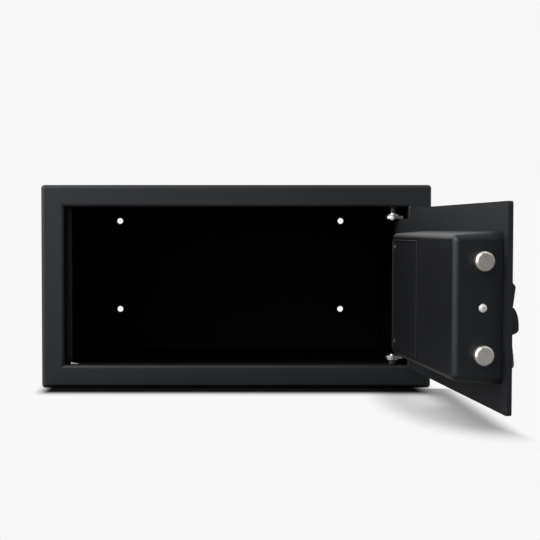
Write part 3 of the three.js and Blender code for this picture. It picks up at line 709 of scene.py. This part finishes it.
dressRounded()
print("rounded pieces:", len(rounded))


# Battery lid: a narrow rim stands up round its flat face
lidRim = {
    "inset": 0.6 * mm,
    "endInset": 5.5 * mm,
    "width": 1.3 * mm,
    "rise": 0.8 * mm,
    "rounding": 0.3 * mm,
}


def addLidRim():
    nearEnd = reach("battery_cover", alongDoor) - lidRim["inset"]
    farEnd = -reach("battery_cover", -alongDoor) + lidRim["endInset"]
    low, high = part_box("battery_cover")
    height = high.z - low.z - 2 * lidRim["inset"]
    centre = onSide("battery_cover", inward)
    centre += alongDoor * ((nearEnd + farEnd) / 2 - centre.dot(alongDoor))
    bpy.ops.object.select_all(action="DESELECT")
    bpy.ops.mesh.primitive_plane_add(size=1)
    rim = bpy.context.object
    bpy.ops.object.mode_set(mode="EDIT")
    bpy.ops.transform.resize(value=(nearEnd - farEnd, height, 1))
    bpy.ops.mesh.inset(thickness=lidRim["width"])
    bpy.ops.mesh.delete(type="FACE")
    bpy.ops.mesh.select_all(action="SELECT")
    bpy.ops.mesh.extrude_region_move(TRANSFORM_OT_translate={"value": (0, 0, lidRim["rise"])})
    bpy.ops.mesh.select_all(action="SELECT")
    bpy.ops.mesh.normals_make_consistent(inside=False)
    bpy.ops.object.mode_set(mode="OBJECT")
    turn = Matrix((alongDoor, up, inward)).transposed().to_4x4()
    rim.data.transform(Matrix.Translation(centre) @ turn)
    rim.name = "battery_cover_rim"
    softEdges(rim, lidRim["rounding"])
    finishIn(rim, coverCoat)
    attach(rim, bodyOf("battery_cover"))


addLidRim()
print("lid rim added")


# Locking bolts: turned round bar with a chamfered, lightly stained end
bolts = {
    "rounding": 0.6 * mm,
    "segments": 3,
    "stains": {"bolt_upper": 0.75, "bolt_lower": 0.40},
}


def dressBolts():
    for node, stains in bolts["stains"].items():
        piece = mergedCopy(node)
        softEdges(piece, bolts["rounding"], bolts["segments"])
        standFor(piece, node, turnedSteel(node + "_steel", node, stains))


dressBolts()
print("bolts dressed")


# Screws: a cross recess cut into each head
endScrew = {
    "faces": alongDoor,
    "arm": 3.0 * mm,
    "slot": 0.7 * mm,
    "depth": 1.3 * mm,
    "rounding": 0.12 * mm,
    "segments": 1,
    "finish": zincPlate("bright_screw", brightZinc),
}
lidScrew = dict(
    endScrew, faces=inward, arm=2.4 * mm, slot=0.55 * mm, depth=0.6 * mm,
    finish=zincPlate("dark_screw", darkZinc))
screws = {
    "cover_end_screw": endScrew,
    "battery_cover_screw_lower": lidScrew,
    "battery_cover_screw_upper": lidScrew,
}


def crossCutter(place, screw):
    bpy.ops.object.select_all(action="DESELECT")
    bpy.ops.mesh.primitive_cube_add(size=1)
    cutter = bpy.context.object
    bpy.ops.object.mode_set(mode="EDIT")
    bpy.ops.transform.resize(value=(screw["arm"], screw["slot"], 2 * screw["depth"]))
    bpy.ops.mesh.duplicate()
    bpy.ops.transform.rotate(value=math.pi / 2, orient_axis="Z", center_override=(0, 0, 0))
    bpy.ops.object.mode_set(mode="OBJECT")
    turn = screw["faces"].to_track_quat("Z", "Y").to_matrix().to_4x4()
    cutter.data.transform(Matrix.Translation(place) @ turn)
    return cutter


def dressScrews():
    for node, screw in screws.items():
        piece = mergedCopy(node)
        cutter = crossCutter(onSide(node, screw["faces"]), screw)
        selectOnly(piece)
        recess = piece.modifiers.new("recess", "BOOLEAN")
        recess.object = cutter
        recess.use_self = True
        bpy.ops.object.modifier_apply(modifier="recess")
        bpy.data.objects.remove(cutter)
        softEdges(piece, screw["rounding"], screw["segments"])
        standFor(piece, node, screw["finish"])


dressScrews()
print("screws dressed")


# Keys: rounded caps with plain pale digits
keys = {
    "rounding": 0.7 * mm,
    "segments": 3,
    "digitHeight": 7.2 * mm,
    "digitRise": 0.12 * mm,
    "signs": {"clear": "*", "enter": "#"},
    "print": mouldedPlastic("legend_print", keyPrint),
}


def addLegend(node, text):
    bpy.ops.object.select_all(action="DESELECT")
    bpy.ops.object.text_add(location=(0, 0, 0))
    legend = bpy.context.object
    legend.data.body = text
    legend.data.size = keys["digitHeight"]
    legend.data.align_x = "CENTER"
    legend.data.align_y = "CENTER"
    legend.data.extrude = keys["digitRise"]
    bpy.ops.object.convert(target="MESH")
    legend = bpy.context.object
    turn = Matrix((-alongDoor, up, outward)).transposed().to_4x4()
    legend.data.transform(Matrix.Translation(onSide(node, outward)) @ turn)
    legend.name = node + "_legend"
    finishIn(legend, keys["print"])
    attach(legend, bodyOf(node))


def dressKeys():
    for node in nodes:
        if node.startswith("key_") and slotOf[node] == "key_rubber":
            piece = mergedCopy(node)
            softEdges(piece, keys["rounding"], keys["segments"])
            standFor(piece, node, rubber)
            mark = node[len("key_"):]
            addLegend(node, keys["signs"].get(mark, mark))


dressKeys()
print("keys dressed")


# Inner works keep their CAD shapes
def dressInner():
    for node, piece in nodes.items():
        if not piece.hide_render:
            finishIn(piece, materialOf[slotOf[node]])


dressInner()
print("inner works dressed")


# Room: the pale backdrop, a dark front with soft glows that only gloss shows, and an even fill
room = {
    "backdrop": 0.939,
    "fill": 0.60,
    "behind": (0.0, 0.3),  # where a direction's depth begins to show the backdrop in gloss
    "glowEdge": (0.4, 1.0),  # how closely a direction faces a glow, as a cosine
    "glows": [
        {"towards": (-1.0, 0.0, 0.12), "power": 1.40},
        {"towards": (-0.75, -0.65, 0.12), "power": 2.20},
        {"towards": (0.75, 0.0, 0.66), "power": 1.20},
    ],
}


def setRoom():
    world = bpy.data.worlds.new("studio")
    bpy.context.scene.world = world
    finish = Finish(world, "Background", Color=grey(room["backdrop"]))
    towards = finish.node("ShaderNodeTexCoord", {}, {}, "Generated")
    level = 0.0
    for glow in room["glows"]:
        aim = Vector(glow["towards"]).normalized()
        facing = finish.node(
            "ShaderNodeVectorMath", {"operation": "DOT_PRODUCT"}, {0: towards, 1: aim}, "Value")
        level = level + finish.smooth(facing, *room["glowEdge"], 0.0, glow["power"])
    seen, mirrored = finish.rays()
    tone = level * mirrored + (1.0 - mirrored) * room["fill"]
    soft = finish.node("ShaderNodeBackground", {}, {"Color": tone, "Strength": 1.0})
    behind = finish.smooth(finish.axis(towards, "Y"), *room["behind"])
    pale = Wire(finish, finish.shader.outputs[0])
    finish.show(finish.larger(seen, mirrored * behind), soft, pale, "World Output")


# Floor: it takes real light and shade under the open door, and beside and behind the case.
# Elsewhere it has the plain tone of the backdrop, and a painted shadow darkens a line at the
# case's foot. A pair says where a soft step begins and ends, and a four where it rises and falls
floor = {
    "size": 14.0,
    "below": 0.2 * mm,
    "color": 0.80,
    "roughness": 0.9,
    "dimTone": 0.34,  # how bright gloss shows it in front of the case, as in the photo
    "dimmed": (-0.30, -0.10),
    "doorShade": (0.215, -0.290, 0.0),  # the middle of the oval shade under the door
    "doorOval": (0.34, 0.80, 1.0),
    "doorEdge": (0.15, 0.27),
    "doorRight": (0.215, 0.240),
    "caseFront": (-0.1925, -0.1865),  # the shade beside and behind the case
    "caseLeft": (-0.180, -0.214),
    "caseRight": (0.175, 0.215),
    "caseFar": (0.19, 0.36),
    "leftSpread": 0.142,
    "rightSpread": 0.183,
    "footShadowShare": 0.996,  # a painted shadow: the dark line at the foot of the case
    "footShadowDepth": (-0.250, -0.209, 0.100, 0.170),
    "footShadowWidth": (-0.220, -0.198, 0.190, 0.220),
}


def addFloor():
    bpy.ops.object.select_all(action="DESELECT")
    bpy.ops.mesh.primitive_plane_add(size=floor["size"], location=(0, 0, -floor["below"]))
    piece = bpy.context.object
    piece.name = "floor"
    finish = newFinish("pale_floor", Roughness=floor["roughness"], Specular_IOR_Level=0.0)
    seen, mirrored = finish.rays()
    place = finish.place()
    width = finish.axis(place, "X")
    depth = finish.axis(place, "Y")
    # painted shadow at the case's foot, darkening both the lit colour and the plain tone
    foot = finish.between(depth, *floor["footShadowDepth"])
    foot = foot * finish.between(width, *floor["footShadowWidth"])
    clear = 1.0 - foot * floor["footShadowShare"]
    dimmed = finish.smooth(depth, *floor["dimmed"], floor["dimTone"], 1.0)
    finish.feed("Base Color", clear * finish.larger(seen, dimmed) * floor["color"])

    # Plain in front of the case, except for the door's shade
    around = finish.place(floor["doorShade"], scale=floor["doorOval"])
    distance = finish.node("ShaderNodeVectorMath", {"operation": "LENGTH"}, {0: around}, "Value")
    plainFront = finish.larger(
        finish.smooth(distance, *floor["doorEdge"]), finish.smooth(width, *floor["doorRight"]))

    # Plain again all round the case's shade, which widens towards the back
    past = depth - floor["caseFront"][1]
    plainLeft = finish.smooth(width + past * floor["leftSpread"], *floor["caseLeft"])
    plainRight = finish.smooth(width - past * floor["rightSpread"], *floor["caseRight"])
    plainBack = finish.larger(
        finish.larger(plainLeft, plainRight), finish.smooth(depth, *floor["caseFar"]))

    back = finish.smooth(depth, *floor["caseFront"])
    plain = (plainFront * (1.0 - back) + plainBack * back) * clear
    plain = plain * finish.larger(seen, mirrored * (depth > 0.0))
    glow = finish.node("ShaderNodeEmission", {}, {"Color": grey(room["backdrop"]), "Strength": 1.0})
    lit = Wire(finish, finish.shader.outputs[0])
    finish.show(plain, lit, glow, "Material Output")
    piece.data.materials.append(finish.owner)


# Lamps: gloss says whether a lamp is seen in paint and metal
lamps = {
    "topLamp": {
        "place": (-0.9, -0.5, 1.5), "aim": (0.0, -0.2, 0.0), "size": 0.9, "power": 12.5,
        "gloss": True},
    "frontLamp": {
        "place": (-0.8, -2.0, 1.5), "aim": (0.0, -0.2, 0.1), "size": 1.2, "power": 10.0,
        "gloss": True},
    "washLamp": {
        "place": (-1.3, -1.2, 1.7), "aim": (0.0, -0.3, 0.0), "size": 0.9, "power": 7.5,
        "gloss": False},
}


def addLamps():
    for name, lamp in lamps.items():
        place = Vector(lamp["place"])
        bpy.ops.object.light_add(type="AREA", location=place)
        made = bpy.context.object
        made.name = name
        made.rotation_mode = "QUATERNION"
        made.rotation_quaternion = (place - Vector(lamp["aim"])).to_track_quat("Z", "Y")
        made.data.size = lamp["size"]
        made.data.energy = lamp["power"]
        made.visible_camera = False
        made.visible_glossy = lamp["gloss"]


setRoom()
addFloor()
addLamps()
bpy.context.scene.view_settings.view_transform = "Standard"
print("studio set")
